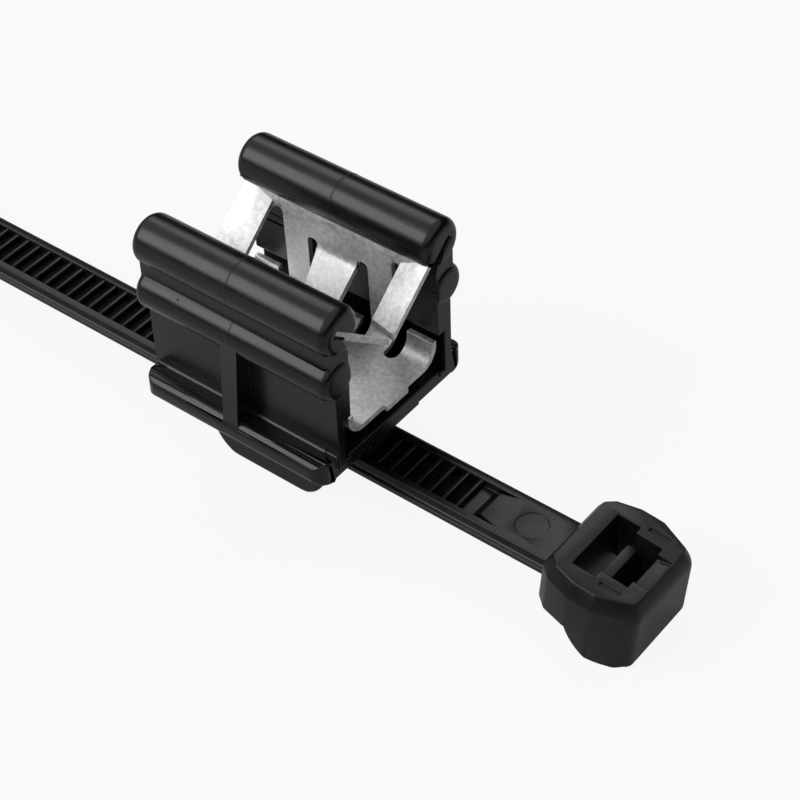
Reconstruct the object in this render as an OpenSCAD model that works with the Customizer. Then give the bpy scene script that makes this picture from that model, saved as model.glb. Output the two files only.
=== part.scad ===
// Cable tie with an edge-clip mount. The clip pushes over the edge of a panel, a folded spring
// sheet in its channel grips the panel, and the tie's strap runs through the loop underneath.
// X runs along the strap towards the tie's head, Y across it and Z up.
// The origin is under the middle of the loop.

/* [Clip] */
// Length of the clip along the strap
clip_l = 14.4; // [12.5:0.1:20]
// Clear width of the channel between the side walls
channel_w = 8.9; // [8:0.1:12]
// Thickness of the side walls
wall_t = 1.15; // [1:0.05:1.6]
// Height of the bars' axes above the clip's underside
jaw_h = 11.3; // [10.5:0.1:15]
// Diameter of the round bar along the top of each jaw
bar_d = 3.3; // [3:0.1:3.8]
// Distance from a side wall's outer face in to its bar's axis
bar_inset = 0.77; // [0.6:0.01:0.95]
// Diameter of the bead under each bar
bead_d = 2.8; // [2.2:0.1:3.2]
// Distance from a side wall's outer face in to its bead's axis
bead_inset = 0.35; // [0.2:0.05:0.7]
// Drop from a bar's axis to its bead's axis
bead_drop = 3.5; // [3.1:0.1:4]
// Rounding at the ends of the bars and beads
rod_round = 0.65; // [0.3:0.05:0.7]
// How far the bars and beads stand out past each end of the side walls
rod_over = 0.35; // [0.1:0.05:0.5]
// How far the neck between bar and bead stands out from the side wall
neck_reach = 0.3; // [0.1:0.05:0.5]
// Thickness of the flange along each lower edge
flange_t = 1.7; // [1.4:0.1:2.5]
// Reach of the flange past the side wall
flange_reach = 1.6; // [1:0.1:2.5]
// Rounding of the flange's outer edges
flange_round = 0.65; // [0.2:0.05:0.8]
// Rounding of the flange's corners seen from above
flange_corner = 1; // [0.5:0.1:1.5]
// Width of the middle rib on each outer face
rib_w = 1.2; // [0.8:0.1:2]
// How far the rib's foot lies inside the flange's edge
rib_inset = 0.08; // [0.02:0.02:0.6]
// Radius of the fillet between each side wall and its flange
foot_r = 0.3; // [0.1:0.05:0.5]
// Thickness of the channel's floor
floor_t = 1; // [0.8:0.1:1.2]
// Height of the bed on the floor that carries the spring sheet
bed_h = 1.1; // [0.6:0.1:1.6]
// Length of the bed left free at each end of the clip
bed_end = 1.2; // [0.5:0.1:2]
// Depth of the pocket cut into the foot of each side wall
pocket_d = 0.45; // [0.2:0.05:0.6]
// Height of that pocket above the floor
pocket_h = 3.2; // [2:0.1:4]
// Depth of the strap seat that stands down from the clip's underside
seat_t = 0.2; // [0.1:0.05:0.5]

/* [Loop] */
// Length of the loop along the strap
loop_l = 9.2; // [7:0.1:12]
// Thickness of the loop's walls beside the strap
loop_side_t = 0.85; // [0.7:0.05:2]
// Thickness of the loop's wall under the strap
loop_floor_t = 2.7; // [1.5:0.1:3.5]
// Height of the loop's roof, from the strap's passage up to the clip's underside
loop_roof_t = 2.3; // [1.5:0.1:4]
// Offset of the loop from the clip's middle, away from the head
loop_shift = 0.7; // [0:0.1:1]
// Rounding of the loop's lower ends
loop_round = 2.6; // [1:0.1:3]
// Rounding of the loop's lower side edges
loop_edge = 0.4; // [0.2:0.1:0.8]
// Clearance of the strap in the loop on each side
strap_clear = 0.2; // [0.1:0.05:0.4]

/* [Spring sheet] */
// Thickness of the spring sheet
sheet_t = 0.4; // [0.3:0.05:0.5]
// Clearance of the sheet in the clip
sheet_clear = 0.05; // [0.02:0.01:0.1]
// Gap between the sheet's lower bends and the side walls
side_gap = 0.15; // [0.05:0.01:0.3]
// Inside radius of the bends along the sheet's floor
corner_r = 1; // [0.6:0.1:1.4]
// Inward lean of the legs in degrees
lean = 1.5; // [0.5:0.5:3]
// Slope of the outer tabs and of the tucked edge in degrees
tab_slope = 40; // [36:1:44]
// Sideways tilt of the outer tabs in degrees
tab_tilt = 20; // [14:1:24]
// Slope of the middle tabs in degrees
mid_slope = 48; // [42:1:50]
// Inside radius of the folds at the top of the legs
fold_r = 1.8; // [1.5:0.05:2]
// Drop from a bar's axis to the start of the fold below it
fold_drop = 1.9; // [1.8:0.01:2.1]
// Length of the flat edge that is tucked into the bar
tuck_l = 0.9; // [0.5:0.05:1]
// Inside radius of the bends at the middle tabs' roots
root_r = 0.8; // [0.5:0.05:1]
// Width of the middle tab
mid_tab_w = 3.2; // [2.4:0.1:3.6]
// Drop from the top fold to the start of the middle tab's bend
mid_drop = 1.5; // [1.2:0.05:1.8]
// Drop from the start of the fold to the top of the slots beside the outer tabs
slot_drop = 0.2; // [0.2:0.05:0.6]
// Drop of the outer tabs' outer edges below the tucked edge
tab_drop = 0.2; // [0.1:0.05:0.4]
// Width of the full-height strips
strip_w = 1.9; // [1.4:0.1:2.2]
// Width of the slots beside the tabs
slot_w = 0.78; // [0.5:0.02:0.88]
// Width of the slots' round ends in the sheet's floor
slot_end_w = 0.9; // [0.6:0.05:1]
// Height of the stubs under the outer tabs
stub_h = 1.35; // [1.1:0.05:2]
// Height of the stub under the middle tab
mid_stub_h = 0.5; // [0.3:0.05:0.9]
// Gap between the tips of facing tabs
tip_gap = 0.4; // [0.2:0.1:1]
// Narrowing of the middle tabs towards their tips
tab_taper = 0.5; // [0.2:0.05:0.6]
// Skew of the outer tabs' tips
tip_skew = 0.6; // [0.1:0.05:0.8]
// Width of the tongue on each end of the sheet's floor
tongue_w = 2.1; // [1:0.1:3]
// Length of that tongue
tongue_l = 0.3; // [0.1:0.05:0.6]

/* [Strap] */
// Length of the tie from the head's far end to the tail's tip
tie_l = 200; // [120:1:300]
// Gap between the clip's end and the head
head_out = 13.3; // [11:0.1:30]
// Width of the strap
strap_w = 4.6; // [4:0.1:5]
// Thickness of the strap
strap_t = 1.1; // [1:0.05:1.4]
// Width of the toothed groove between the rails
groove_w = 2.73; // [2:0.01:3]
// Width of the rails' flat tops
rail_w = 0.44; // [0.3:0.02:0.5]
// Height of the ledges beside the rails
ledge_h = 0.6; // [0.5:0.05:0.7]
// Bevel along the strap's lower edges
edge_bevel = 0.3; // [0.1:0.05:0.4]
// Pitch of the teeth
tooth_p = 1.03; // [0.8:0.01:1.4]
// Height of the teeth
tooth_h = 0.42; // [0.3:0.02:0.5]
// How far the teeth's crests lie below the rails' tops
tooth_sink = 0.16; // [0.05:0.01:0.2]
// Length of the smooth pad between the teeth and the head
pad_l = 6.6; // [5:0.1:9]
// Length of the ramp up to the pad
ramp_l = 0.6; // [0.4:0.1:1]
// Width of that ramp
ramp_w = 2.1; // [1.6:0.1:2.5]
// Length of the plain neck next to the head
neck_l = 1.9; // [1:0.1:2.4]
// Distance from the head to the middle of the round mark on the pad
mark_x = 2.9; // [2.2:0.1:3.5]
// Diameter of the round mark
mark_d = 2.1; // [1:0.1:2.6]
// Depth of the round mark
mark_t = 0.06; // [0.02:0.01:0.1]
// Length of the smooth tail
tail_l = 24; // [10:1:40]
// Length of the tail's taper
taper_l = 12; // [6:1:20]
// Width of the tail's tip
tip_w = 2.4; // [1.5:0.1:3]

/* [Head] */
// Length of the head
head_l = 6.85; // [6.5:0.05:9]
// Width of the head where it is widest
head_w = 8.2; // [7.4:0.1:9]
// Width of the head's face on the strap's side
head_near_w = 5.8; // [5.2:0.1:6.2]
// Width of the head's far face
head_far_w = 6; // [5:0.1:6.4]
// Height of the head's top above the strap's top
head_rise = 2; // [1.6:0.1:2.6]
// Depth of the head below the strap's top
head_drop = 4.1; // [3.6:0.05:4.5]
// Depth of the head's strap side below the strap's top
near_drop = 1.9; // [1.4:0.1:2.4]
// Distance from the strap's side of the head to its belly
belly_in = 2.1; // [1.4:0.1:2.6]
// Radius of the belly
belly_r = 3.2; // [2.4:0.1:3.6]
// Pitch of the head towards its far end in degrees
head_pitch = 5; // [0:1:8]
// Height of the bevel around the head's top
bevel_h = 0.95; // [0.5:0.05:1.2]
// Width of that bevel
bevel_w = 0.5; // [0.3:0.05:0.7]
// Wall between the strap's side of the head and its window
window_in = 1.7; // [1.2:0.05:1.8]
// Length of the window's wide part, which the strap's tail goes through
window_l = 1.6; // [1.5:0.05:1.8]
// Lean of the window's wall on the strap's side in degrees
window_lean = 7; // [4:1:8]
// Clearance of the strap's tail in the window on each side
window_clear = 0.1; // [0.05:0.01:0.2]
// Length of the window's narrow part behind the pawl
pawl_room = 1.9; // [1.7:0.05:2.2]
// Width of the window's narrow part
pawl_room_w = 3.7; // [3:0.1:4]
// Width of the pawl
pawl_w = 3.3; // [2.4:0.1:3.6]
// How far the pawl's tip stands into the window's wide part
pawl_reach = 0.3; // [0.1:0.05:0.4]
// Depth of the pawl's tip below the head's top
pawl_sink = 1.1; // [0.7:0.05:1.6]
// Thickness of the pawl's tip
pawl_t = 0.7; // [0.5:0.05:0.8]
// Height of the pawl's face towards the strap's tail
pawl_face_h = 2.2; // [1.8:0.1:2.4]
// Thickness of the pawl's root
pawl_root_t = 1; // [0.8:0.1:1.2]
// Height of the pawl's root above the head's underside
pawl_root_h = 1.2; // [1:0.1:1.4]
// Length of the ramp out of the window
exit_l = 1; // [0.5:0.05:1.1]
// Depth of that ramp at the window
exit_t = 0.5; // [0.3:0.05:0.8]
// Width of that ramp out of the window
exit_w = 2.6; // [2:0.1:2.8]
// Depth of the fine grooves beside the window
mark_groove_t = 0.15; // [0.05:0.01:0.25]
// Width of those grooves
mark_groove_w = 0.26; // [0.15:0.01:0.35]
// Length of those grooves
mark_groove_l = 1.4; // [1:0.1:1.6]
// Distance from the window's narrow part to the middle of those grooves
mark_groove_out = 0.78; // [0.65:0.01:0.9]

/* [Hidden] */
$fn = 48;
black = "#1c1d1f";
steel = "#c3c5c4";
past = 1;
lap = 4;
nick = 0.01;

// Where a tooth's crest starts and ends and where its steep side ends, in shares of the pitch
crest_from = 0.66;
crest_to = 0.86;
steep_to = 0.98;

// Heights, from the bottom of the loop upwards
strap_z = loop_floor_t + strap_clear;
strap_top = strap_z + strap_t;
under_z = strap_top + strap_clear + loop_roof_t;
floor_top = under_z + floor_t;
sheet_z = floor_top + bed_h;
sheet_top = sheet_z + sheet_t;
bar_z = under_z + jaw_h;
bead_z = bar_z - bead_drop;

// Half widths, from the middle of the channel outwards
wall_in = channel_w / 2;
wall_out = wall_in + wall_t;
flange_out = wall_out + flange_reach;
bar_y = wall_out - bar_inset;
bead_y = wall_out - bead_inset;

// The sheet's middle line in the YZ plane: corner, leg, fold, tucked edge
corner_m = corner_r + sheet_t / 2;
fold_m = fold_r + sheet_t / 2;
corner_y = wall_in - side_gap - corner_r - sheet_t;
corner_c = [corner_y, sheet_top + corner_r];
leg_dir = [-sin(lean), cos(lean)];
leg_out = [cos(lean), sin(lean)];
tab_dir = [cos(tab_slope), sin(tab_slope)];
tab_out = [sin(tab_slope), -cos(tab_slope)];
leg_p = corner_c + corner_m * leg_out;
leg_l = (bar_z - fold_drop - leg_p.y) / cos(lean);
fold_c = leg_p + leg_l * leg_dir + fold_m * leg_out;
tuck_p = fold_c - fold_m * tab_out;
root_m = root_r + sheet_t / 2;
mid_p = leg_p + (leg_l - mid_drop) * leg_dir;
mid_c = mid_p - root_m * leg_out;
mid_tab_p = mid_c + root_m * [sin(mid_slope), -cos(mid_slope)];
stub_top = sheet_top + stub_h;

// Stations of the strips, slots and tabs along the clip
mid_half = mid_tab_w / 2;
strip_x = mid_half + slot_w;
outer_x = strip_x + strip_w;
tab_x = outer_x + slot_w;
end_x = clip_l / 2;

// Stations along the tie
head_x = end_x + head_out;
pad_x = head_x - pad_l;
tail_x = head_x + head_l - tie_l;
teeth_x = tail_x + tail_l;
teeth_n = floor((pad_x - teeth_x) / tooth_p);
groove_z = strap_t - tooth_sink - tooth_h;
ledge_in = groove_w + 2 * rail_w + strap_t - ledge_h;

// A rectangle about the origin with round corners
module round_rect(w, h, r) {
  square([w - 2 * r, h], center = true);
  square([w, h - 2 * r], center = true);
  for (x = [-1, 1], y = [-1, 1])
    translate([x * (w / 2 - r), y * (h / 2 - r)]) circle(r);
}

// A round rod along X with rounded ends
module rod(l, d, end_r) {
  r = min(end_r, d / 5);
  rotate([0, 90, 0]) rotate_extrude() intersection() {
    round_rect(d, l, r);
    translate([0, -l]) square([d, 2 * l]);
  }
}

// A profile drawn in the YZ plane, carried along X
module along_x(l) {
  rotate([90, 0, 90]) linear_extrude(height = l, center = true) children();
}

// A profile drawn in the XZ plane, carried along Y
module along_y(w) {
  rotate([90, 0, 0]) linear_extrude(height = w, center = true) children();
}

// The children on both sides of the channel
module both_sides() {
  for (m = [0, 1]) mirror([0, m, 0]) children();
}

// The children at both ends of the clip
module both_ends() {
  for (m = [0, 1]) mirror([m, 0, 0]) children();
}

// Clip body

// Flanges and floor in one slab, hollowed to the floor's thickness inside the channel
module base_slab() {
  difference() {
    intersection() {
      translate([0, 0, under_z])
        linear_extrude(height = flange_t) round_rect(clip_l, 2 * flange_out, flange_corner);
      translate([0, 0, under_z + flange_t / 2])
        along_x(clip_l + past) round_rect(2 * flange_out, flange_t, flange_round);
    }
    translate([-clip_l, -wall_in, floor_top]) cube([2 * clip_l, channel_w, flange_t]);
  }
}

// The space inside a jaw that the sheet's leg, fold and tucked edge take up
module leg_space() {
  gap = sheet_t / 2 + sheet_clear;
  low = leg_p - corner_m * leg_dir;
  top = leg_p + leg_l * leg_dir;
  roof = tuck_p - gap * tab_out;
  polygon([
    [0, low.y], low + gap * leg_out, top + gap * leg_out, tuck_p + gap * tab_out, roof,
    [0, roof.y - roof.x * tan(tab_slope)]
  ]);
}

// One side wall with its bar, bead, neck and middle rib, and the lip that backs the sheet's leg
module jaw() {
  wall_l = clip_l + rod_over;
  foot = [wall_out, under_z + flange_t];
  lip_z = floor_top + pocket_h;
  rib_z = under_z + flange_t / 3;
  difference() {
    union() {
      translate([-wall_l / 2, wall_in, under_z + flange_round])
        cube([wall_l, wall_t, jaw_h - flange_round]);
      translate([0, bar_y, bar_z]) rod(clip_l + 2 * rod_over, bar_d, rod_round);
      translate([0, bead_y, bead_z]) rod(clip_l + 2 * rod_over, bead_d, rod_round);
      translate([-wall_l / 2, wall_in, bead_z]) cube([wall_l, wall_t + neck_reach, bead_drop]);
      along_x(wall_l) polygon([
        [bar_y, lip_z], [corner_y, lip_z], [corner_y, tuck_p.y - (tuck_p.x - corner_y) * tan(tab_slope)],
        tuck_p, [bar_y, tuck_p.y]
      ]);
      along_x(wall_l - 2 * flange_corner) difference() {
        translate(foot - [foot_r, foot_r]) square(2 * foot_r);
        translate(foot + [foot_r, foot_r]) circle(foot_r);
      }
      along_x(rib_w) polygon([
        [bar_y, rib_z], [flange_out - rib_inset, rib_z], [bead_y + 0.49 * bead_d, bead_z], [bar_y, bead_z]
      ]);
    }
    along_x(2 * clip_l) leg_space();
  }
}

// The loop's block, with large roundings at its lower ends and small ones along its sides
module loop_block() {
  top = under_z + floor_t / 2;
  width = strap_w + 2 * (strap_clear + loop_side_t);
  intersection() {
    along_y(width) {
      translate([-loop_l / 2, loop_round]) square([loop_l, top - loop_round]);
      translate([loop_round - loop_l / 2, 0]) square([loop_l - 2 * loop_round, top]);
      for (x = [-1, 1]) translate([x * (loop_l / 2 - loop_round), loop_round]) circle(loop_round);
    }
    translate([0, 0, top / 2]) along_x(loop_l + past) round_rect(width, top, loop_edge);
  }
}

// The slot under a bar that takes the sheet's tucked edge
module tuck_slot() {
  gap = sheet_t / 2 + sheet_clear;
  along_x(2 * clip_l) translate(tuck_p) rotate(tab_slope)
    translate([-gap, -gap]) square([tuck_l + sheet_clear + gap, 2 * gap]);
}

module clip_body() {
  passage_w = strap_w + 2 * strap_clear;
  color(black) difference() {
    union() {
      base_slab();
      both_sides() jaw();
      translate([bed_end - end_x, -corner_y, floor_top - floor_t / 2])
        cube([clip_l - 2 * bed_end, 2 * corner_y, bed_h + floor_t / 2]);
      translate([-end_x, -passage_w / 2, under_z - seat_t]) cube([clip_l, passage_w, seat_t + floor_t / 2]);
      translate([-loop_shift, 0, 0]) loop_block();
    }
    both_sides() tuck_slot();
    both_sides() translate([-clip_l, wall_in - past, floor_top])
      cube([2 * clip_l, past + pocket_d, pocket_h]);
    translate([-clip_l, -passage_w / 2, loop_floor_t])
      cube([2 * clip_l, passage_w, strap_t + 2 * strap_clear]);
  }
}

// Spring insert

// A bend of the sheet about a centre, between two angles, that laps into the flats on both sides
module bend(centre, r, from, to) {
  reach = 3 * r;
  angles = [from - lap, (from + to) / 2, to + lap];
  translate(centre) intersection() {
    difference() {
      circle(r + sheet_t / 2);
      circle(r - sheet_t / 2);
    }
    polygon([[0, 0], for (a = angles) reach * [cos(a), sin(a)]]);
  }
}

// A flat run of the sheet on from a point of its middle line, and back from it
module run(from, angle, l, back = 0) {
  translate(from) rotate(angle) translate([-back, -sheet_t / 2]) square([l + back, sheet_t]);
}

// Half of the folded sheet before it is slit
module half_fold() {
  along_x(clip_l) {
    translate([0, sheet_z]) square([corner_y, sheet_t]);
    bend(corner_c, corner_m, -90, lean);
    run(leg_p, 90 + lean, leg_l);
    bend(fold_c, fold_m, 90 + tab_slope, 180 + lean);
    run(tuck_p, tab_slope, tuck_l);
  }
}

// An opening in a leg above a stub, up to a height
module leg_window(x, w, top, low = stub_top) {
  translate([x, 0, low]) cube([w, channel_w, top - low]);
}

// A slot in a leg above the stubs, with a round top
module leg_slot(x, top) {
  leg_window(x, slot_w, top - slot_w / 2);
  translate([x + slot_w / 2, channel_w / 2, top - slot_w / 2]) along_y(channel_w) circle(d = slot_w);
}

// A slot that goes round the corner and ends round in the sheet's floor
module floor_slot(x, w) {
  translate([x, corner_y, sheet_z - past]) cube([w, channel_w, stub_top - sheet_z + 2 * past]);
  translate([x + w / 2, corner_y, sheet_z - past]) cylinder(d = w, h = stub_top - sheet_z + 2 * past);
}

// A slab in the plane of the outer tab, which comes close to the tucked edge at the sheet's end
module tab_slab(below, above) {
  reach = 2 * channel_w;
  pitch = atan(tan(tab_slope) * cos(tab_tilt));
  translate([end_x, tuck_p.x, tuck_p.y - tab_drop]) rotate([pitch, -tab_tilt, 0])
    translate([-reach, -reach, -below]) cube([2 * reach, 2 * reach, below + above]);
}

// Outer tab: it hinges on a rising line across the leg and runs down to a skewed tip
module outer_tab() {
  intersection() {
    tab_slab(sheet_t / 2, sheet_t / 2);
    linear_extrude(height = 2 * bar_z) polygon([
      [tab_x, leg_p.x], [tab_x, tip_gap / 2 + tip_skew], [end_x, tip_gap / 2],
      [end_x, tuck_p.x - sheet_t]
    ]);
  }
}

// Middle tab: it bends straight out of the leg
module mid_tab() {
  intersection() {
    along_x(mid_tab_w) {
      run(mid_p, 90 + lean, mid_drop / 2);
      bend(mid_c, root_m, mid_slope - 90, lean);
      run(mid_tab_p, 180 + mid_slope, channel_w);
    }
    linear_extrude(height = 2 * bar_z) polygon([
      [-mid_half - past, channel_w], [-mid_half, mid_p.x], [tab_taper - mid_half, tip_gap / 2],
      [mid_half - tab_taper, tip_gap / 2], [mid_half, mid_p.x], [mid_half + past, channel_w]
    ]);
  }
}

module spring_insert() {
  color(steel) {
    both_sides() {
      difference() {
        half_fold();
        leg_window(-mid_half - nick, mid_tab_w + 2 * nick, mid_p.y, sheet_top + mid_stub_h);
        both_ends() {
          leg_slot(mid_half, mid_p.y);
          leg_slot(outer_x, bar_z - fold_drop - slot_drop);
          difference() {
            leg_window(tab_x - nick, clip_l, bar_z);
            tab_slab(0, jaw_h);
          }
          floor_slot(outer_x, slot_end_w);
          floor_slot(mid_half, slot_w);
        }
      }
      both_ends() outer_tab();
      mid_tab();
    }
    both_ends() translate([end_x, -tongue_w / 2, sheet_z]) cube([tongue_l, tongue_w, sheet_t]);
  }
}

// Cable tie

// Half of the strap's section: bevelled edge, ledge, sloped rail and groove
function half_section() = [
  [strap_w / 2 - edge_bevel, 0],
  [strap_w / 2, edge_bevel],
  [strap_w / 2, ledge_h],
  [ledge_in / 2, ledge_h + edge_bevel / 3],
  [groove_w / 2 + rail_w, strap_t],
  [groove_w / 2, strap_t],
  [groove_w / 2, groove_z]
];

module strap_section() {
  half = half_section();
  polygon(concat(half, [for (i = [len(half) - 1:-1:0]) [-half[i].x, half[i].y]]));
}

// Row of teeth, steep towards the head
module teeth() {
  crest = groove_z + tooth_h;
  along_y(groove_w) polygon(concat(
    [[teeth_x, groove_z / 2]],
    [for (i = [0:teeth_n - 1],
          p = [[0, groove_z], [crest_from, crest], [crest_to, crest], [steep_to, groove_z]])
      [teeth_x + (i + p.x) * tooth_p, p.y]],
    [[teeth_x + teeth_n * tooth_p, groove_z], [teeth_x + teeth_n * tooth_p, groove_z / 2]]
  ));
}

// Smooth pad with the ramp that leads up to it, narrower there than the groove
module pad() {
  ramp_half = ramp_w / 2;
  wide_x = pad_x + 3 * ramp_l;
  intersection() {
    along_y(strap_w) polygon([
      [pad_x, groove_z / 2], [pad_x, groove_z], [pad_x + ramp_l, strap_t], [head_x, strap_t],
      [head_x, groove_z / 2]
    ]);
    linear_extrude(height = strap_t) polygon([
      [pad_x, -ramp_half], [pad_x + ramp_l, -ramp_half], [wide_x, -groove_w / 2], [head_x, -groove_w / 2],
      [head_x, groove_w / 2], [wide_x, groove_w / 2], [pad_x + ramp_l, ramp_half], [pad_x, ramp_half]
    ]);
  }
  translate([head_x - neck_l, 0, strap_t / 2])
    along_x_from(neck_l + window_in / 2) square([groove_w + 2 * rail_w, strap_t], center = true);
}

// A profile drawn in the YZ plane, carried along X from the plane's own place
module along_x_from(l) {
  rotate([90, 0, 90]) linear_extrude(height = l) children();
}

// Smooth tail, tapered to a round tip
module tail_plan() {
  tip_r = tip_w / 2;
  translate([tail_x + tip_r, 0]) circle(tip_r);
  polygon([
    [tail_x + tip_r, -tip_r], [tail_x + taper_l, -strap_w / 2], [head_x, -strap_w / 2],
    [head_x, strap_w / 2], [tail_x + taper_l, strap_w / 2], [tail_x + tip_r, tip_r]
  ]);
}

module strap() {
  intersection() {
    union() {
      translate([tail_x, 0, 0]) along_x_from(head_x - tail_x) strap_section();
      teeth();
      translate([tail_x, -groove_w / 2, groove_z / 2])
        cube([tail_l, groove_w, groove_z / 2 + tooth_h]);
    }
    linear_extrude(height = strap_t) tail_plan();
  }
  pad();
}

// The head's plan, from its face on the strap's side to its far face
function head_plan() = [
  [0, head_near_w / 2],
  [(head_w - head_near_w) / 3, (head_w + head_near_w) / 4 + bevel_w / 4],
  [window_in + window_l / 2, head_w / 2],
  [window_in + window_l + pawl_room / 2, head_w / 2],
  [head_l - bevel_w, head_far_w / 2 + bevel_w / 2],
  [head_l, head_far_w / 2]
];

function both_halves(half) =
  concat(half, [for (i = [len(half) - 1:-1:0]) [half[i].x, -half[i].y]]);

// One face of the bevel around the head's top, cut along an edge of its plan
module bevel_cut(from, to) {
  run = to - from;
  translate([from.x, from.y, 0]) rotate([0, 0, atan2(run.y, run.x)])
    translate([0, 0, -bevel_h]) rotate([atan2(bevel_h, bevel_w), 0, 0])
      translate([-head_l, -head_l, 0]) cube([3 * head_l, 2 * head_l, head_l]);
}

// The outside of the head, in its own frame with Z measured from its top
module head_shell() {
  plan = both_halves(head_plan());
  difference() {
    translate([0, 0, -2 * head_drop]) linear_extrude(height = 2 * head_drop) polygon(plan);
    for (i = [0:len(plan) - 1]) bevel_cut(plan[(i + 1) % len(plan)], plan[i]);
  }
}

// Side view of the space that the head fills: a round belly that rises towards the strap
module head_side() {
  belly_x = belly_in + belly_r;
  far = 2 * head_l;
  translate([belly_x, belly_r - head_drop]) circle(belly_r);
  translate([belly_x, -head_drop]) square([far, head_drop + 2 * head_rise]);
  translate([belly_in, belly_r - head_drop]) square([far, head_drop + 2 * head_rise]);
  translate([-past, -near_drop]) square([far, head_drop + 2 * head_rise]);
}

// Window, pawl room, exit ramp and the fine grooves, in the head's own frame
module window_cut() {
  deep = 2 * head_drop;
  pawl_x = window_in + window_l;
  exit_x = pawl_x + pawl_room;
  along_y(strap_w + 2 * window_clear) polygon([
    [window_in - deep * tan(window_lean), deep], [pawl_x, deep], [pawl_x, -deep],
    [window_in + deep * tan(window_lean), -deep]
  ]);
  translate([pawl_x - past / 2, -pawl_room_w / 2, -deep])
    cube([pawl_room + past / 2, pawl_room_w, 2 * deep]);
  along_y(exit_w) polygon([
    [exit_x - past, -exit_t], [exit_x, -exit_t], [exit_x + exit_l, -exit_t / 2], [exit_x + exit_l, past],
    [exit_x - past, past]
  ]);
  for (y = [-1, 1])
    translate([exit_x - mark_groove_l / 2, y * (pawl_room_w / 2 + mark_groove_out), 0])
      cube([mark_groove_l, mark_groove_w, 2 * mark_groove_t], center = true);
}

// The pawl: a tongue that rises from the far wall towards the window
module pawl() {
  pawl_x = window_in + window_l;
  root_x = pawl_x + pawl_room + past / 2;
  root_z = pawl_root_h - head_rise - head_drop;
  tip = [pawl_x - pawl_reach, -pawl_sink];
  along_y(pawl_w) polygon([
    tip, [tip.x + pawl_t, tip.y], [tip.x + 2 * pawl_t, tip.y + pawl_t - pawl_face_h],
    [root_x, root_z + pawl_root_t], [root_x, root_z], [tip.x + pawl_t / 2, tip.y - pawl_face_h]
  ]);
}

module head() {
  intersection() {
    translate([0, 0, head_rise]) rotate([0, head_pitch, 0]) {
      difference() {
        head_shell();
        window_cut();
      }
      pawl();
    }
    along_y(2 * head_w) head_side();
  }
}

module cable_tie() {
  color(black) difference() {
    translate([0, 0, strap_z]) union() {
      strap();
      translate([head_x, 0, strap_t]) head();
    }
    translate([head_x - mark_x, 0, strap_top - mark_t]) cylinder(d = mark_d, h = past);
  }
}

clip_body();
spring_insert();
cable_tie();
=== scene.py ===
"""Looks of the cable tie with its edge-clip mount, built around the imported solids.

Each solid is shown by a copy of itself with softened edges. Thin parting ridges from the mould are added
to the jaws' bars and beads, and every piece gets a finish worked out from its own coordinates.
All lengths are in metres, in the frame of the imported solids.
"""

import logging
import math
from dataclasses import dataclass, field
from enum import Enum
from typing import Any, Protocol, Sequence

import bmesh
import bpy
import numpy as np
from mathutils import Matrix, Vector


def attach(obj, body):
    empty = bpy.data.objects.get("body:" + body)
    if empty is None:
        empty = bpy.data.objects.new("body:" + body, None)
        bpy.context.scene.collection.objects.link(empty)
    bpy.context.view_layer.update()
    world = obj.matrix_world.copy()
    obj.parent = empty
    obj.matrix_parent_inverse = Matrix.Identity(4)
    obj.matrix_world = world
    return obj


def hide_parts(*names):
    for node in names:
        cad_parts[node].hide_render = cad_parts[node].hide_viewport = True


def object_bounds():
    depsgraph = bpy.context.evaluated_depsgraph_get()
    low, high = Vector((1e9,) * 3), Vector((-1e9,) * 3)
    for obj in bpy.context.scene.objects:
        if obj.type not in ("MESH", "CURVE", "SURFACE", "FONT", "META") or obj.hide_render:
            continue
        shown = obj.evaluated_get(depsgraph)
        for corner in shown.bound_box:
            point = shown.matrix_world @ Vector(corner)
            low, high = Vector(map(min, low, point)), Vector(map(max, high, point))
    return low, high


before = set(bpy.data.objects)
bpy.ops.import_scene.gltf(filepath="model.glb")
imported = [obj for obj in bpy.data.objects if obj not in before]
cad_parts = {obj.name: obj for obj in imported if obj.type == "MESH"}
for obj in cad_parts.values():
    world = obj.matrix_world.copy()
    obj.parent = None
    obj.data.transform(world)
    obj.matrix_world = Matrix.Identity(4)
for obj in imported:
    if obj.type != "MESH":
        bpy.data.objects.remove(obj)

CAD_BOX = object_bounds()
MM = 1e-3
SAME_POINT = 0.0005 * MM
NO_LENGTH = 1e-12

log = logging.getLogger("cable_tie_scene")

Colour = tuple[float, float, float, float]
Span = tuple[float, float]
Point = tuple[float, float, float]


class Ray(Enum):
    """The kinds of ray that see the backdrop as it is shown."""

    CAMERA = "Is Camera Ray"
    GLOSSY = "Is Glossy Ray"
    TRANSMISSION = "Is Transmission Ray"


class Body(Enum):
    """The moving bodies that pieces ride on."""

    CLIP = "clip"
    TIE = "tie"


def grey(level: float, warmth: float = 0.0) -> Colour:
    """A grey with a slight warm or cool cast.

    Args:
        level: linear brightness.
        warmth: share added to red and taken from blue.

    Returns:
        An opaque linear colour.
    """
    return (level * (1 + warmth), level, level * (1 - warmth), 1.0)


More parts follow.
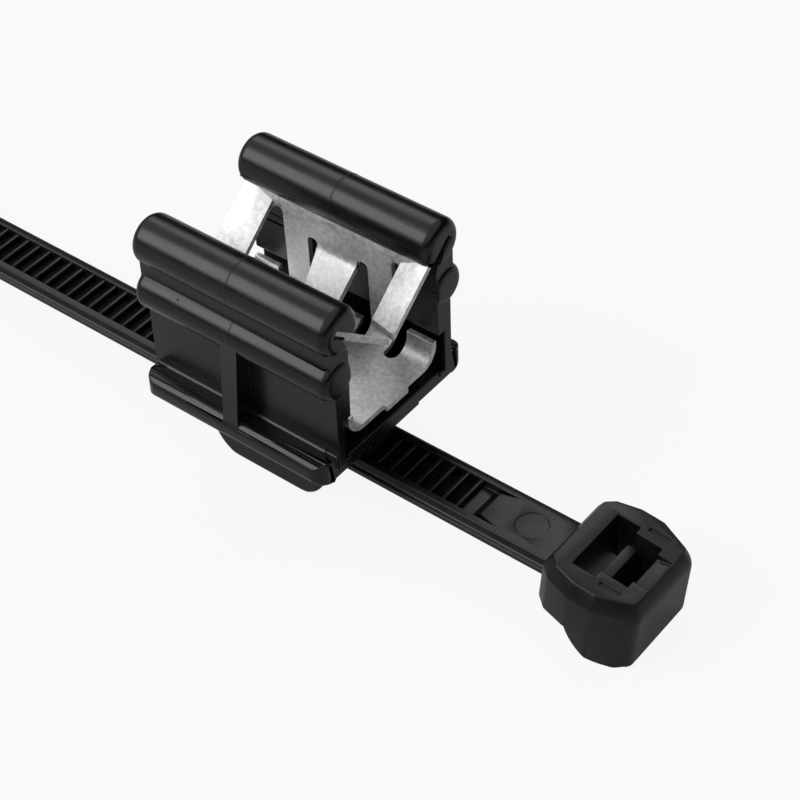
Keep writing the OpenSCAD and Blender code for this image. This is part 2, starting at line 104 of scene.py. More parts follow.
class Value:
    """A shader socket that takes part in Python arithmetic through Math nodes."""

    def __init__(self, graph: "ShaderGraph", socket: bpy.types.NodeSocket) -> None:
        """Wraps one output socket of a graph's node."""
        self.graph = graph
        self.socket = socket

    def math(self, operation: str, *terms: "Value | float") -> "Value":
        """A Math node on the given terms, in order.

        Args:
            operation: the Math node's operation.
            terms: sockets or numbers.

        Returns:
            The node's result.
        """
        return self.graph.node("ShaderNodeMath", dict(enumerate(terms)), operation=operation)[0]

    def __add__(self, other: "Value | float") -> "Value":
        """Sum."""
        return self.math("ADD", self, other)

    def __radd__(self, other: float) -> "Value":
        """Sum with a number in front."""
        return self.math("ADD", other, self)

    def __sub__(self, other: "Value | float") -> "Value":
        """Difference."""
        return self.math("SUBTRACT", self, other)

    def __rsub__(self, other: float) -> "Value":
        """Difference from a number."""
        return self.math("SUBTRACT", other, self)

    def __mul__(self, other: "Value | float") -> "Value":
        """Product."""
        return self.math("MULTIPLY", self, other)

    def __rmul__(self, other: float) -> "Value":
        """Product with a number in front."""
        return self.math("MULTIPLY", other, self)

    def larger(self, other: "Value | float") -> "Value":
        """The larger of two values."""
        return self.math("MAXIMUM", self, other)

    def above(self, low: float, high: float) -> "Value":
        """A smooth step from 0 at low to 1 at high.

        Args:
            low: where the step starts.
            high: where it ends.

        Returns:
            The step as a value from 0 to 1.
        """
        sockets = {"Value": self, "From Min": low, "From Max": high}
        return self.graph.node("ShaderNodeMapRange", sockets, interpolation_type="SMOOTHSTEP")[0]


class Outputs:
    """The outputs of a node, each wrapped as a Value."""

    def __init__(self, graph: "ShaderGraph", node: bpy.types.Node) -> None:
        """Remembers the node and its graph."""
        self.graph = graph
        self.node = node

    def __getitem__(self, key: int | str) -> Value:
        """The output with that number or name."""
        return Value(self.graph, self.node.outputs[key])


class ShaderGraph:
    """A node tree that is filled by one generic method."""

    OCTAVE_SHARE = 0.55
    MIX_SHARE, MIX_LOW, MIX_HIGH, MIXED_COLOUR = 0, 6, 7, 2

    def __init__(self, tree: bpy.types.NodeTree) -> None:
        """Takes over a tree and empties it."""
        self.tree = tree
        tree.nodes.clear()

    def node(self, kind: str, sockets: dict[int | str, Any] | None = None, **settings: str) -> Outputs:
        """Adds a node.

        Args:
            kind: the node's type.
            sockets: values or links of its inputs, by name or number.
            settings: attributes of the node, which are set first.

        Returns:
            The node's outputs.
        """
        made = self.tree.nodes.new(kind)
        for key, value in settings.items():
            setattr(made, key, value)
        for key, value in (sockets or {}).items():
            if isinstance(value, Value):
                self.tree.links.new(value.socket, made.inputs[key])
            else:
                made.inputs[key].default_value = value
        return Outputs(self, made)

    def coords(self) -> Value:
        """The piece's own coordinates."""
        return self.node("ShaderNodeTexCoord")["Object"]

    def noise(
        self, coords: Value, grain: float, detail: float = 2.0, stretch: Sequence[float] = (1, 1, 1)
    ) -> Value:
        """Noise on the piece's own coordinates.

        Args:
            coords: Object coordinates.
            grain: size of a blotch in metres.
            detail: number of finer octaves.
            stretch: how much longer a blotch is along each axis.

        Returns:
            A value around one half.
        """
        scale = [1 / share for share in stretch]
        turned = self.node("ShaderNodeMapping", {"Vector": coords, "Scale": scale})[0]
        sockets = {"Vector": turned, "Scale": 1 / grain, "Detail": detail, "Roughness": self.OCTAVE_SHARE}
        return self.node("ShaderNodeTexNoise", sockets)[0]

    def cells(self, coords: Value, size: float) -> Value:
        """The distance to the nearest of many scattered points, in cells of a size in metres."""
        return self.node("ShaderNodeTexVoronoi", {"Vector": coords, "Scale": 1 / size})["Distance"]

    def blend(self, share: Value, low: Colour, high: Colour) -> Value:
        """A colour between two, by a share from 0 to 1."""
        sockets = {self.MIX_SHARE: share, self.MIX_LOW: low, self.MIX_HIGH: high}
        return self.node("ShaderNodeMix", sockets, data_type="RGBA")[self.MIXED_COLOUR]

    def bump(self, height: Value, depth: float) -> Value:
        """A normal that follows a height from 0 to 1 over a depth in metres."""
        return self.node("ShaderNodeBump", {"Strength": 1.0, "Distance": depth, "Height": height})[0]

    def principled(self, sockets: dict[str, Any]) -> None:
        """Makes a Principled shader the material's output."""
        self.surface(self.node("ShaderNodeBsdfPrincipled", sockets)[0])

    def surface(self, shader: Value) -> None:
        """Makes a shader the material's output."""
        self.node("ShaderNodeOutputMaterial", {"Surface": shader})


def new_material(name: str) -> tuple[bpy.types.Material, ShaderGraph]:
    """An empty node material and the graph that fills it."""
    made = bpy.data.materials.new(name)
    made.use_nodes = True
    return made, ShaderGraph(made.node_tree)


@dataclass(frozen=True)
class MouldedNylon:
    """Black nylon from the mould: faint grain, cloudy sheen, flow streaks along the part, a few dust specks.

    Attributes:
        tone, pale, casts: brightness of the dark and the pale places, and the colour cast of each.
        roughness, cloud_swing, flow_swing, speck_dulling: roughness, and how far each pattern changes it.
        specular: strength of the mirror reflection.
        grain, cloud, streak, streak_stretch: sizes of the patterns, and how much longer a streak is.
        cloud_span, cloud_share, speck_paling: how clouds, streaks and specks make up the brightness.
        depth, grain_share, speck_height: depth of the surface's relief, and what it is made up of.
        speck_gap, speck_size, speck_rim: distance between specks, and their core and rim in such distances.
        patch, patch_span: size of the patches that have specks, in distances, and where they start and end.
    """

    name: str
    tone: float = 0.003
    pale: float = 0.006
    casts: Span = (-0.03, -0.02)
    roughness: float = 0.26
    cloud_swing: float = 0.12
    flow_swing: float = 0.1
    speck_dulling: float = 0.25
    specular: float = 0.3
    grain: float = 0.09 * MM
    cloud: float = 1.6 * MM
    streak: float = 0.22 * MM
    streak_stretch: float = 9.0
    cloud_span: Span = (0.3, 0.75)
    cloud_share: float = 0.7
    speck_paling: float = 2.0
    depth: float = 0.004 * MM
    grain_share: float = 0.7
    speck_height: float = 1.5
    speck_gap: float = 1.3 * MM
    speck_size: float = 0.05
    speck_rim: float = 0.08
    patch: float = 2.3
    patch_span: Span = (0.56, 0.6)

    def material(self) -> bpy.types.Material:
        """The finish as a material.

        Returns:
            A material that reads Object coordinates only.
        """
        made, graph = new_material(self.name)
        coords = graph.coords()
        grain = graph.noise(coords, self.grain)
        cloud = graph.noise(coords, self.cloud, detail=3.0)
        flow = graph.noise(coords, self.streak, stretch=(self.streak_stretch, 1, 1))
        reach = graph.cells(coords, self.speck_gap)
        patches = graph.noise(coords, self.patch * self.speck_gap, detail=0.0).above(*self.patch_span)
        specks = (1 - reach.above(self.speck_size, self.speck_rim)) * patches
        clouds = cloud.above(*self.cloud_span) * self.cloud_share
        shade = clouds + flow * (1 - self.cloud_share) + specks * self.speck_paling
        sheen = (cloud - 0.5) * self.cloud_swing + (flow - 0.5) * self.flow_swing
        height = grain * self.grain_share + flow * (1 - self.grain_share) + specks * self.speck_height
        tone, pale = grey(self.tone, self.casts[0]), grey(self.pale, self.casts[1])
        graph.principled({
            "Base Color": graph.blend(shade, tone, pale),
            "Roughness": self.roughness + sheen + specks * self.speck_dulling,
            "Specular IOR Level": self.specular,
            "Normal": graph.bump(height, self.depth),
        })
        return made


@dataclass(frozen=True)
class ZincSheet:
    """Zinc-plated spring sheet: cloudy pale grey with small spangles and fine rolling marks.

    Attributes:
        dull, bright, casts: brightness of the dull and the bright places, and the colour cast of each.
        roughness, mottle_swing, roll_swing: roughness, and how far the mottle and the marks change it.
        spangle, cloud, roll, roll_stretch: sizes of the patterns, and how much longer a rolling mark is.
        cloud_span, mottle_span: where the clouds and the mottle start and end.
        cloud_share, mottle_share, cell_share: how the patterns make up the brightness.
        depth, mottle_height: depth of the surface's relief, and the mottle's share of it.
    """

    name: str
    dull: float = 0.39
    bright: float = 0.75
    casts: Span = (0.01, 0.008)
    roughness: float = 0.53
    mottle_swing: float = 0.4
    roll_swing: float = 0.12
    spangle: float = 0.3 * MM
    cloud: float = 2.2 * MM
    roll: float = 0.05 * MM
    roll_stretch: float = 14.0
    cloud_span: Span = (0.3, 0.7)
    mottle_span: Span = (0.36, 0.64)
    cloud_share: float = 0.4
    mottle_share: float = 0.45
    cell_share: float = 0.25
    depth: float = 0.005 * MM
    mottle_height: float = 0.6

    def material(self) -> bpy.types.Material:
        """The finish as a material.

        Returns:
            A metal that reads Object coordinates only.
        """
        made, graph = new_material(self.name)
        coords = graph.coords()
        cloud = graph.noise(coords, self.cloud, detail=4.0)
        mottle = graph.noise(coords, self.spangle, detail=3.0)
        cells = graph.cells(coords, self.spangle)
        rolling = graph.noise(coords, self.roll, stretch=(self.roll_stretch, 1, 1))
        clouds = cloud.above(*self.cloud_span) * self.cloud_share
        shade = clouds + mottle.above(*self.mottle_span) * self.mottle_share + cells * self.cell_share
        sheen = (mottle - 0.5) * self.mottle_swing + (rolling - 0.5) * self.roll_swing
        height = mottle * self.mottle_height + rolling * (1 - self.mottle_height)
        dull, bright = grey(self.dull, self.casts[0]), grey(self.bright, self.casts[1])
        graph.principled({
            "Base Color": graph.blend(shade, dull, bright),
            "Metallic": 1.0,
            "Roughness": self.roughness + sheen,
            "Normal": graph.bump(height, self.depth),
        })
        return made


@dataclass(frozen=True)
class PaleStage:
    """Matt white floor that seen rays show as the white backdrop, with the object's shadow kept.

    Attributes:
        albedo: brightness of the matt floor.
        glow: brightness of the backdrop.
        shown_share, mirrored_share: how much of the backdrop camera rays and mirrored rays see.
    """

    name: str
    albedo: float = 0.56
    glow: float = 1.0
    shown_share: float = 0.9
    mirrored_share: float = 0.1

    def material(self) -> bpy.types.Material:
        """The floor's material: a share of plain white for seen rays, the rest matt and shadowed."""
        made, graph = new_material(self.name)
        matt = graph.node("ShaderNodeBsdfDiffuse", {"Color": grey(self.albedo)})[0]
        white = graph.node("ShaderNodeEmission", {"Color": grey(1.0), "Strength": self.glow})[0]
        share = seen_rays(graph, self.shown_share, self.mirrored_share)
        graph.surface(graph.node("ShaderNodeMixShader", {0: share, 1: matt, 2: white})[0])
        return made


@dataclass(frozen=True)
class DarkCloth:
    """Black felt of the studio's flag, with a slight unevenness."""

    name: str
    tone: float = 0.02
    blotch: float = 0.05

    def material(self) -> bpy.types.Material:
        """The felt as a material."""
        made, graph = new_material(self.name)
        shade = graph.noise(graph.coords(), self.blotch)
        colour = graph.blend(shade, grey(0.0), grey(2 * self.tone))
        graph.surface(graph.node("ShaderNodeBsdfDiffuse", {"Color": colour})[0])
        return made


def seen_rays(graph: ShaderGraph, direct: float = 1.0, mirrored: float = 1.0) -> Value:
    """How far a ray sees the backdrop as it is shown.

    Args:
        graph: the tree that asks.
        direct: the share for camera rays and rays through glass.
        mirrored: the share for rays from a glossy surface.

    Returns:
        The larger share that fits the ray, or zero for rays that only carry light.
    """
    path = graph.node("ShaderNodeLightPath")
    plain = path[Ray.CAMERA.value].larger(path[Ray.TRANSMISSION.value]) * direct
    return plain.larger(path[Ray.GLOSSY.value] * mirrored)


def column(items: Any, name: str, width: int = 1, kind: type = float) -> np.ndarray:
    """One attribute of all items of a mesh.

    Args:
        items: the mesh's vertices, edges, loops or polygons.
        name: the attribute.
        width: how many numbers each item has.
        kind: the numbers' type.

    Returns:
        One number for each item, or one row of numbers where the width is more than 1.
    """
    values = np.empty(len(items) * width, kind)
    items.foreach_get(name, values)
    return values.reshape(-1, width) if width > 1 else values


def merged_triangles(source: bpy.types.Object) -> tuple[np.ndarray, np.ndarray]:
    """The points and triangles of a solid, with equal points made one.

    Args:
        source: a solid's object, whose triangles are loose.

    Returns:
        Points as rows, and triangles as rows of point numbers.
    """
    points = column(source.data.vertices, "co", 3)
    corners = column(source.data.loops, "vertex_index", kind=int)
    grid = np.round(points / SAME_POINT).astype(np.int64)
    _, first, number = np.unique(grid, axis=0, return_index=True, return_inverse=True)
    triangles = number.reshape(-1)[corners].reshape(-1, 3)
    whole = (triangles != np.roll(triangles, 1, axis=1)).all(axis=1)
    return points[first], triangles[whole]


def mesh_piece(name: str, points: np.ndarray, faces: Sequence[Sequence[int]]) -> bpy.types.Object:
    """A mesh object at the origin, linked into the scene.

    Args:
        name: the piece's name.
        points: rows of x, y, z.
        faces: point numbers of each face.

    Returns:
        The new object.
    """
    mesh = bpy.data.meshes.new(name)
    mesh.from_pydata(points.tolist(), [], faces)
    mesh.update()
    made = bpy.data.objects.new(name, mesh)
    bpy.context.scene.collection.objects.link(made)
    return made


def sharp_edges(mesh: bpy.types.Mesh, angle: float) -> np.ndarray:
    """Which edges have two faces whose normals differ by more than an angle.

    Args:
        mesh: a closed mesh.
        angle: the smallest turn of a sharp edge, in degrees.

    Returns:
        Whether each edge is sharp.
    """
    normals = column(mesh.polygons, "normal", 3)
    totals = column(mesh.polygons, "loop_total", kind=int)
    side = column(mesh.loops, "edge_index", kind=int)
    face = np.repeat(np.arange(len(totals)), totals)
    order = np.argsort(side, kind="stable")
    number = np.bincount(side, minlength=len(mesh.edges))
    last = np.cumsum(number) - 1
    first = np.clip(last - 1, 0, None)
    cosine = (normals[face[order[first]]] * normals[face[order[last]]]).sum(axis=1)
    return (number == 2) & (cosine < math.cos(math.radians(angle)))


def edge_rooms(mesh: bpy.types.Mesh) -> np.ndarray:
    """The room that the faces leave beside each edge.

    At each corner of a face, the room beside one edge is the length of the other edge there, times the
    corner's sine where the corner is acute. An edge's room is the least of these.

    Args:
        mesh: a closed mesh.

    Returns:
        A length for each edge.
    """
    totals = column(mesh.polygons, "loop_total", kind=int)
    starts = column(mesh.polygons, "loop_start", kind=int)
    side = column(mesh.loops, "edge_index", kind=int)
    places = column(mesh.vertices, "co", 3)[column(mesh.loops, "vertex_index", kind=int)]
    face = np.repeat(np.arange(len(totals)), totals)
    at = np.arange(len(side)) - starts[face]
    ahead = starts[face] + (at + 1) % totals[face]
    behind = starts[face] + (at - 1) % totals[face]
    out, back = places[ahead] - places, places[behind] - places
    out_l, back_l = np.linalg.norm(out, axis=1), np.linalg.norm(back, axis=1)
    bend = np.clip((out * back).sum(axis=1) / np.maximum(out_l * back_l, NO_LENGTH), -1.0, 1.0)
    narrow = np.where(bend > 0.0, np.sqrt(1.0 - bend**2), 1.0)
    rooms = np.full(len(mesh.edges), np.inf)
    np.minimum.at(rooms, side, back_l * narrow)
    np.minimum.at(rooms, side[behind], out_l * narrow)
    return rooms


def edge_middles(mesh: bpy.types.Mesh) -> np.ndarray:
    """The middle point of each edge, as rows."""
    return column(mesh.vertices, "co", 3)[column(mesh.edges, "vertices", 2, int)].mean(axis=1)


def add_bevel(
    piece: bpy.types.Object, name: str, width: float, segments: int, weights: np.ndarray, attribute: str
) -> None:
    """Rounds a piece's edges, each by its own share of a width.

    Args:
        piece: the piece.
        name: the modifier's name.
        width: the full rounding's width.
        segments: the number of steps across a rounding.
        weights: the share of each edge.
        attribute: the edge attribute that keeps the shares.
    """
    piece.data.attributes.new(attribute, "FLOAT", "EDGE").data.foreach_set("value", weights)
    bevel = piece.modifiers.new(name, "BEVEL")
    bevel.width = width
    bevel.segments = segments
    bevel.limit_method = "WEIGHT"
    bevel.edge_weight = attribute
    bevel.use_clamp_overlap = False
    bevel.harden_normals = True


@dataclass
class SoftEdges:
    """How the edges of a solid are rounded where the real moulding or sheet is.

    Attributes:
        width, segments: width of a full rounding, and its steps.
        angle: the smallest turn of an edge that is rounded, in degrees.
        flat: the largest turn over which triangles are joined to one face, in degrees.
        merge: points nearer than this are made one.
        room: the room that a full rounding needs beside an edge, in widths.
        least: an edge that would take a smaller share than this stays sharp.
    """

    width: float
    segments: int = 3
    angle: float = 13.0
    flat: float = 0.4
    merge: float = SAME_POINT
    room: float = 2.1
    least: float = 0.02

    def most(self, middles: np.ndarray) -> np.ndarray:
        """The largest share of the width that each edge takes, by the edges' middles."""
        return np.ones(len(middles))

    def copy_of(self, node: str, name: str) -> bpy.types.Object:
        """A copy of a solid with its flat triangles joined and its edges rounded.

        Args:
            node: the solid's node.
            name: the new piece's name.

        Returns:
            The rounded piece.
        """
        points, triangles = merged_triangles(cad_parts[node])
        made = mesh_piece(name, points, triangles.tolist())
        mesh = made.data
        work = bmesh.new()
        work.from_mesh(mesh)
        bmesh.ops.remove_doubles(work, verts=work.verts, dist=self.merge)
        limit = math.radians(self.flat)
        bmesh.ops.dissolve_limit(
            work, angle_limit=limit, verts=work.verts, edges=work.edges, use_dissolve_boundaries=False
        )
        work.to_mesh(mesh)
        work.free()
        mesh.shade_smooth()
        sharp = sharp_edges(mesh, self.angle)
        shares = np.clip(edge_rooms(mesh) / (self.room * self.width), 0.0, 1.0)
        rounded = sharp & (shares > self.least)
        weights = np.where(rounded, np.minimum(shares, self.most(edge_middles(mesh))), 0.0)
        mesh.attributes.new("sharp_edge", "BOOLEAN", "EDGE").data.foreach_set("value", sharp & ~rounded)
        add_bevel(made, "soft_edges", self.width, self.segments, weights, "bevel_weight_edge")
        return made


@dataclass
class TieEdges(SoftEdges):
    """Roundings of the tie: large around the head's far face, smaller on its sides, fine elsewhere.

    Attributes:
        head_from, top, pitch: where the head starts, its top's height there, and its slope in degrees.
        far_from: where the edges of the far face start, along the head.
        far_width, far_segments: width of the rounding around the far face, and its steps.
        window_half: half the width of what lies in and beside the window.
        belly: where the head's sides start above its rounded underside.
        rim, rim_ends, rim_share: height of the upper rim, its two ends along the strap, and its share.
        fine: the share of all other edges.
    """

    head_from: float = 20.45 * MM
    top: float = 6.0 * MM
    pitch: float = 5.0
    far_from: float = 6.6 * MM
    far_width: float = 0.4 * MM
    far_segments: int = 5
    window_half: float = 2.85 * MM
    belly: float = 2.3 * MM
    rim: float = 5.2 * MM
    rim_ends: Span = (21.2 * MM, 26.8 * MM)
    rim_share: float = 0.7
    fine: float = 0.5

    def below_rim(self, middles: np.ndarray) -> np.ndarray:
        """Which edges belong to the head's outside below its upper rim."""
        return (middles[:, 0] > self.head_from) & (middles[:, 2] < self.rim)

    def far(self, middles: np.ndarray) -> np.ndarray:
        """Which edges lie around the far face, found in the head's own pitched frame."""
        turn = math.radians(self.pitch)
        ahead, rise = middles[:, 0] - self.head_from, middles[:, 2] - self.top
        along = ahead * math.cos(turn) - rise * math.sin(turn)
        return self.below_rim(middles) & (along > self.far_from)

    def most(self, middles: np.ndarray) -> np.ndarray:
        """Full on the head's sides, less on the upper rim, fine elsewhere, none around the far face."""
        x, y, z = middles.T
        below = self.below_rim(middles)
        beside = np.abs(y) > self.window_half
        sides = below & beside & (z > self.belly)
        rim = beside | (x < self.rim_ends[0]) | (x > self.rim_ends[1])
        rim &= (x > self.head_from) & ~below
        return np.select([self.far(middles), sides, rim], [0.0, 1.0, self.rim_share], self.fine)

    def copy_of(self, node: str, name: str) -> bpy.types.Object:
        """A rounded copy whose far face is rounded first, in a step of its own.

        Args:
            node: the solid's node.
            name: the new piece's name.

        Returns:
            The rounded piece.
        """
        made = super().copy_of(node, name)
        around = sharp_edges(made.data, self.angle) & self.far(edge_middles(made.data))
        weights = around.astype(float)
        add_bevel(made, "far_face", self.far_width, self.far_segments, weights, "far_face_weight")
        made.modifiers.move(len(made.modifiers) - 1, 0)
        return made


def dress(piece: bpy.types.Object, body: Body, finish: bpy.types.Material) -> None:
    """Gives a piece its finish and the body that it rides on.

    Args:
        piece: the finished piece.
        body: what carries it.
        finish: its material.
    """
    piece.data.materials.clear()
    piece.data.materials.append(finish)
    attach(piece, body.value)
    log.info("%s: %d points, rides on %s", piece.name, len(piece.data.vertices), body.value)


@dataclass(frozen=True)
class PartingRidge:
    """The thin raised line that the mould's halves leave around a rod, in the plane across its middle.

    Attributes:
        middle, radius: the rod's axis as y and z, and its radius.
        start, stop: where the ridge starts and stops, in degrees from +Y towards +Z.
        half_width, crown: half the ridge's width, and the share of it that is flat on top.
        height, sunk: how far it stands out of the rod, and how far its foot lies in it.
        blunt, tip: how suddenly it shrinks at its ends, and the share of the arc that stays narrow there.
        steps: the number of rings along the arc.
    """

    name: str
    middle: Span
    radius: float
    start: float
    stop: float
    half_width: float = 0.07 * MM
    crown: float = 0.35
    height: float = 0.022 * MM
    sunk: float = 0.03 * MM
    blunt: float = 0.25
    tip: float = 0.02
    steps: int = 40

    def build(self) -> bpy.types.Object:
        """Carries a low roof-shaped profile round the rod.

        With t from 0 to 1 along the arc, its angle is a = start + t (stop - start). A profile point
        (across, out) lies at x = s across, y = middle y + (radius + s out) cos a and
        z = middle z + (radius + s out) sin a, where the swell s = sin(pi t)^blunt shrinks it at both ends.

        Returns:
            The ridge as a closed mesh.
        """
        t = np.linspace(0.0, 1.0, self.steps)
        turn = np.radians(self.start + t * (self.stop - self.start))
        across = np.array([-1.0, -self.crown, self.crown, 1.0, 1.0, -1.0]) * self.half_width
        out = np.array([0.0, self.height, self.height, 0.0, -self.sunk, -self.sunk])
        swell = np.sin(np.pi * np.clip(t, self.tip, 1.0 - self.tip)) ** self.blunt
        reach = self.radius + np.outer(swell, out)
        x = np.outer(swell, across)
        y = self.middle[0] + reach * np.cos(turn)[:, None]
        z = self.middle[1] + reach * np.sin(turn)[:, None]
        points = np.stack([x, y, z], axis=-1).reshape(-1, 3)
        count = len(across)
        ring = np.arange(count)
        after = (ring + 1) % count
        step = np.arange(self.steps - 1)[:, None] * count
        walls = np.stack([step + ring, step + count + ring, step + count + after, step + after], axis=-1)
        caps = [ring.tolist(), (ring[::-1] + (self.steps - 1) * count).tolist()]
        return mesh_piece(self.name, points, walls.reshape(-1, 4).tolist() + caps)


class Assembly(Protocol):
    """A part of the object that makes and dresses its own pieces."""

    def build(self) -> list[bpy.types.Object]:
        """Makes the pieces."""


@dataclass
class ClipMoulding:
    """The clip's black body: jaws with bars and beads, flanges, floor and strap loop.

    Attributes:
        finish, edges: its look and its roundings.
        bar_middle, bar_radius, bar_arc: the back bar's axis and radius, and its ridge's ends in degrees.
        bead_middle, bead_radius, bead_arc: the same for the back bead. The front ones mirror them.
    """

    finish: MouldedNylon = MouldedNylon("clip_nylon")
    edges: SoftEdges = field(default_factory=lambda: SoftEdges(0.14 * MM))
    bar_middle: Span = (4.83 * MM, 17.8 * MM)
    bar_radius: float = 1.65 * MM
    bar_arc: Span = (-40.0, 205.0)
    bead_middle: Span = (5.25 * MM, 14.3 * MM)
    bead_radius: float = 1.4 * MM
    bead_arc: Span = (-62.0, 62.0)

    def ridges(self) -> list[bpy.types.Object]:
        """The parting ridges on both bars and both beads."""
        rods = (
            ("bar", self.bar_middle, self.bar_radius, self.bar_arc),
            ("bead", self.bead_middle, self.bead_radius, self.bead_arc),
        )
        made = []
        for side, word in ((-1, "front"), (1, "back")):
            for rod, (y, z), radius, (start, stop) in rods:
                arc = (start, stop) if side > 0 else (180.0 - stop, 180.0 - start)
                ridge = PartingRidge(f"{word}_{rod}_ridge", (side * y, z), radius, *arc)
                made.append(ridge.build())
        return made

    def build(self) -> list[bpy.types.Object]:
        """Makes the clip's pieces and dresses them.

        Returns:
            The pieces, in order.
        """
        shell = self.edges.copy_of("clip_body", "clip_shell")
        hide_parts("clip_body")
        nylon = self.finish.material()
        pieces = [shell, *self.ridges()]
        for piece in pieces:
            dress(piece, Body.CLIP, nylon)
        return pieces


@dataclass
class SpringSheet:
    """The folded, zinc-plated spring sheet in the clip's channel."""

    finish: ZincSheet = ZincSheet("zinc_sheet")
    edges: SoftEdges = field(
        default_factory=lambda: SoftEdges(0.04 * MM, segments=2, angle=35.0, merge=0.02 * MM, least=0.5)
    )

    def build(self) -> list[bpy.types.Object]:
        """Makes the sheet and dresses it.

        Returns:
            The piece, as a list.
        """
        sheet = self.edges.copy_of("spring_insert", "spring_sheet")
        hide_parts("spring_insert")
        dress(sheet, Body.CLIP, self.finish.material())
        return [sheet]


@dataclass
class Tie:
    """The tie: toothed strap and head."""

    finish: MouldedNylon = MouldedNylon("tie_nylon", roughness=0.31, specular=0.26)
    edges: TieEdges = field(default_factory=lambda: TieEdges(0.12 * MM))

    def build(self) -> list[bpy.types.Object]:
        """Makes the tie and dresses it.

        Returns:
            The piece, as a list.
        """
        strap = self.edges.copy_of("cable_tie", "tie_moulding")
        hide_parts("cable_tie")
        dress(strap, Body.TIE, self.finish.material())
        return [strap]


@dataclass(frozen=True)
class Softbox:
    """A square studio lamp that points at the clip.

    Attributes:
        towards: the direction from the clip to the lamp.
        distance, width: how far away it is, and its side.
        radiance: brightness of its face.
    """

    name: str
    towards: Point
    distance: float
    width: float
    radiance: float

    def place(self, aim: Vector) -> None:
        """Adds the lamp, whose power is pi times its radiance times its area.

        Args:
            aim: the point that it shines on.
        """
        data = bpy.data.lights.new(self.name, "AREA")
        data.shape = "RECTANGLE"
        data.size = self.width
        data.size_y = self.width
        data.energy = self.radiance * math.pi * self.width**2
        lamp = bpy.data.objects.new(self.name, data)
        away = Vector(self.towards).normalized()
        lamp.location = aim + away * self.distance
        lamp.rotation_mode = "QUATERNION"
        lamp.rotation_quaternion = away.to_track_quat("Z", "Y")
        bpy.context.scene.collection.objects.link(lamp)


@dataclass
class Flag:
    """A black flag around the set that only glossy surfaces see.

    Attributes:
        radius: the flag's distance from the middle of the set.
        low, high: the lowest and the highest elevation of its top, in degrees.
        highest_at: the direction in which it is highest, in degrees from +X towards +Y.
        steps: the number of its faces.
    """

    radius: float = 0.9
    low: float = 12.0
    high: float = 42.0
    highest_at: float = 55.0
    steps: int = 72

    def build(self) -> bpy.types.Object:
        """Makes the flag.

        At an angle a round the set its foot is at (r cos a, r sin a, 0) and its top at the height
        r tan(low + (high - low) (1/2 + 1/2 cos(a - highest at))).

        Returns:
            The flag, which only glossy rays see.
        """
        turn = np.linspace(0.0, 2 * np.pi, self.steps, endpoint=False)
        swing = 0.5 + 0.5 * np.cos(turn - math.radians(self.highest_at))
        tops = self.radius * np.tan(np.radians(self.low + (self.high - self.low) * swing))
        round_set = self.radius * np.stack([np.cos(turn), np.sin(turn)], axis=-1)
        feet = np.column_stack([round_set, np.zeros(self.steps)])
        points = np.concatenate([feet, np.column_stack([round_set, tops])])
        ring = np.arange(self.steps)
        after = (ring + 1) % self.steps
        faces = np.stack([after, ring, ring + self.steps, after + self.steps], axis=-1)
        made = mesh_piece("dark_flag", points, faces.tolist())
        made.data.materials.append(DarkCloth("black_felt").material())
        made.visible_camera = made.visible_diffuse = made.visible_shadow = made.visible_transmission = False
        return made


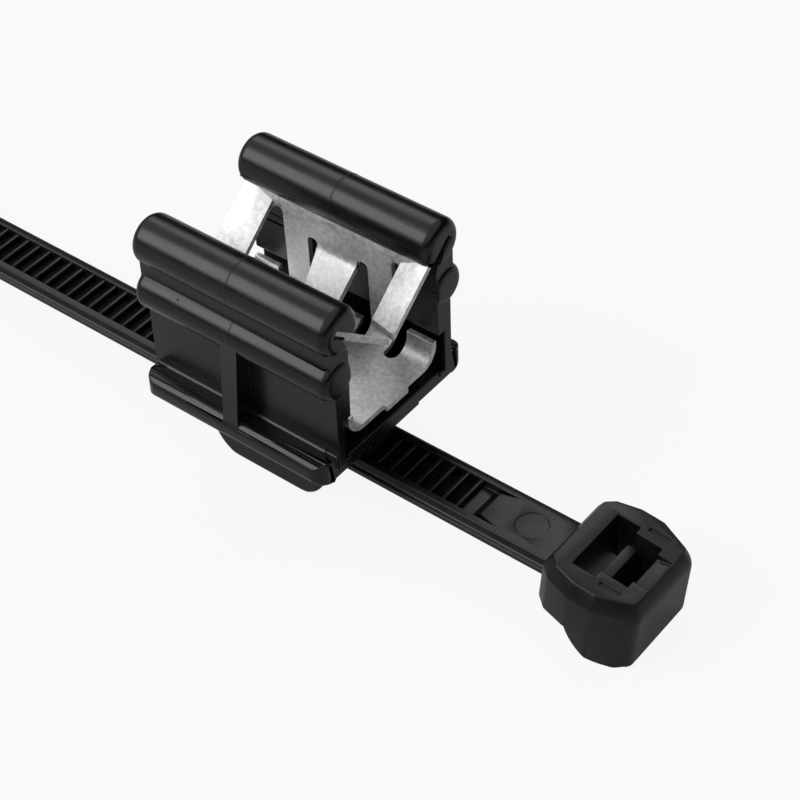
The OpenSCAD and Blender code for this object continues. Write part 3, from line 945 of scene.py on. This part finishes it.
@dataclass
class Studio:
    """White floor, white world, soft lamps and a black flag.

    Attributes:
        floor_reach, gap: half the floor's side, and its distance below the object.
        world_light: the world's strength as a light. Seen rays show it at full strength.
        aim: the point that the lamps shine on.
        lamps: the soft lamps.
    """

    floor_reach: float = 6.0
    gap: float = 0.05 * MM
    world_light: float = 0.5
    aim: Point = (0.0, 0.0, 10 * MM)
    lamps: Sequence[Softbox] = (
        Softbox("back_softbox", (-0.45, 0.45, 0.77), distance=0.5, width=0.22, radiance=1.9),
        Softbox("front_softbox", (-0.46, -0.66, 0.6), distance=0.5, width=0.34, radiance=4.5),
    )

    def floor(self) -> None:
        """Lays the floor just below the object."""
        low = CAD_BOX[0].z - self.gap
        corners = np.array([[-1, -1, 0], [1, -1, 0], [1, 1, 0], [-1, 1, 0]]) * self.floor_reach
        made = mesh_piece("floor", corners + [0, 0, low], [[0, 1, 2, 3]])
        made.data.materials.append(PaleStage("pale_floor").material())

    def world(self) -> None:
        """Sets the white world."""
        made = bpy.data.worlds.new("white_room")
        made.use_nodes = True
        bpy.context.scene.world = made
        graph = ShaderGraph(made.node_tree)
        level = seen_rays(graph) * (1 - self.world_light) + self.world_light
        sky = graph.node("ShaderNodeBackground", {"Color": grey(1.0), "Strength": level})[0]
        graph.node("ShaderNodeOutputWorld", {"Surface": sky})

    def build(self) -> None:
        """Sets the stage, the world and the lamps."""
        self.floor()
        Flag().build()
        self.world()
        for lamp in self.lamps:
            lamp.place(Vector(self.aim))
            log.info("lamp %s", lamp.name)


@dataclass
class PhotoCamera:
    """The camera at the photograph's viewing angle.

    Attributes:
        place, right, up: where it stands, and its two picture axes.
        focal_px, image_px: focal length and picture width, in the photograph's pixels.
        sensor: width of the sensor in Blender's millimetres.
        nearest, farthest: the range of distances that it sees.
    """

    place: Point = (71.247 * MM, -77.433 * MM, 105.826 * MM)
    right: Point = (0.7896, 0.6129, -0.0284)
    up: Point = (-0.4105, 0.5621, 0.7181)
    focal_px: float = 2287.162
    image_px: float = 800.0
    sensor: float = 36.0
    nearest: float = 0.005
    farthest: float = 50.0

    def build(self) -> None:
        """Adds the camera and makes it the scene's."""
        data = bpy.data.cameras.new("photo_camera")
        data.sensor_width = self.sensor
        data.lens = self.focal_px * self.sensor / self.image_px
        data.clip_start, data.clip_end = self.nearest, self.farthest
        camera = bpy.data.objects.new("photo_camera", data)
        bpy.context.scene.collection.objects.link(camera)
        right = Vector(self.right).normalized()
        back = right.cross(Vector(self.up)).normalized()
        up = back.cross(right)
        turn = Matrix((right, up, back)).transposed().to_4x4()
        camera.matrix_world = Matrix.Translation(Vector(self.place)) @ turn
        bpy.context.scene.camera = camera


def main() -> None:
    """Builds the camera, the pieces and the studio."""
    logging.basicConfig(level=logging.INFO, format="%(message)s")
    bpy.context.scene.view_settings.view_transform = "Standard"
    PhotoCamera().build()
    assemblies: Sequence[Assembly] = (ClipMoulding(), SpringSheet(), Tie())
    for assembly in assemblies:
        for piece in assembly.build():
            log.info("made %s", piece.name)
    Studio().build()


if __name__ == "__main__":
    main()
